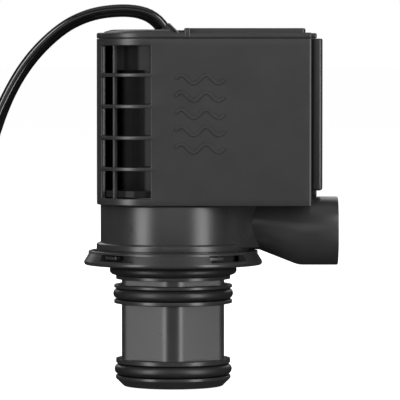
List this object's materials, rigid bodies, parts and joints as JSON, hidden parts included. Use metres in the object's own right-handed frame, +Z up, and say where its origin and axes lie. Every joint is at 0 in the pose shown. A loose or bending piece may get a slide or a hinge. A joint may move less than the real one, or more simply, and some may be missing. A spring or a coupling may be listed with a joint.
{
  "type": "internal power filter",
  "caption": "Submersible pump head with a slotted casing, side outlet, twist-off suction nozzle with O-rings, magnet rotor and a coiled mains lead.",
  "frame": {"origin": "centre of the suction nozzle's lower end face, on the pump axis", "axes": "+Z up along the pump axis, +X along the outlet pipe, -Y towards the front panel"},
  "size_m": [0.2437, 0.0874, 0.1222],
  "materials": {
    "casing_plastic": "fine moulded grain",
    "motor_plastic": "smooth moulded",
    "wet_plastic": "satin moulded",
    "resin": "poured",
    "core_steel": "stacked sheet",
    "bobbin_plastic": "moulded",
    "winding": "enamelled wire",
    "gland_rubber": "soft",
    "ring_rubber": "soft sheen",
    "screw_steel": "plain",
    "ceramic": "ground",
    "ferrite": "sintered",
    "rotor_plastic": "moulded",
    "cord_sheath": "smooth",
    "tie_plastic": "smooth",
    "plug_plastic": "moulded",
    "pin_metal": "plated"
  },
  "bodies": {
    "pump": {"front_casing": "casing_plastic", "rear_casing": "casing_plastic", "top_cover": "casing_plastic", "motor_housing": "motor_plastic", "potting_resin": "resin", "stator_core": "core_steel", "bobbin_front": "bobbin_plastic", "bobbin_rear": "bobbin_plastic", "coil_front": "winding", "coil_rear": "winding", "thermal_cutout": "bobbin_plastic", "cable_gland": "gland_rubber", "pump_chamber": "wet_plastic", "chamber_seal": "ring_rubber", "chamber_screws": "screw_steel", "upper_bearing": "ring_rubber", "shaft": "ceramic", "upper_washer": "ceramic", "lower_washer": "ceramic", "cord_run": "cord_sheath", "cord_coil": "cord_sheath", "cord_tie": "tie_plastic", "cord_tail": "cord_sheath", "plug_body": "plug_plastic", "plug_pins": "pin_metal"},
    "rotor": {"rotor_magnet": "ferrite", "rotor_sleeve": "rotor_plastic"},
    "impeller": {"impeller": "rotor_plastic"},
    "cover": {"nozzle_cover": "wet_plastic", "cover_seal": "ring_rubber", "lower_bearing": "ring_rubber", "o_ring_upper": "ring_rubber", "o_ring_middle": "ring_rubber", "o_ring_lower": "ring_rubber"}
  },
  "joints": [
    {"name": "rotor_spin", "type": "hinge", "parent": "pump", "child": "rotor", "pos_m": [0, 0, 0.0765], "axis": [0, 0, 1], "continuous": true},
    {"name": "impeller_play", "type": "hinge", "parent": "rotor", "child": "impeller", "pos_m": [0, 0, 0.054], "axis": [0, 0, 1], "range_deg": [-125, 125]},
    {"name": "cover_twist", "type": "hinge", "parent": "pump", "child": "cover", "pos_m": [0, 0, 0.042], "axis": [0, 0, 1], "range_deg": [-17, 0]}
  ]
}
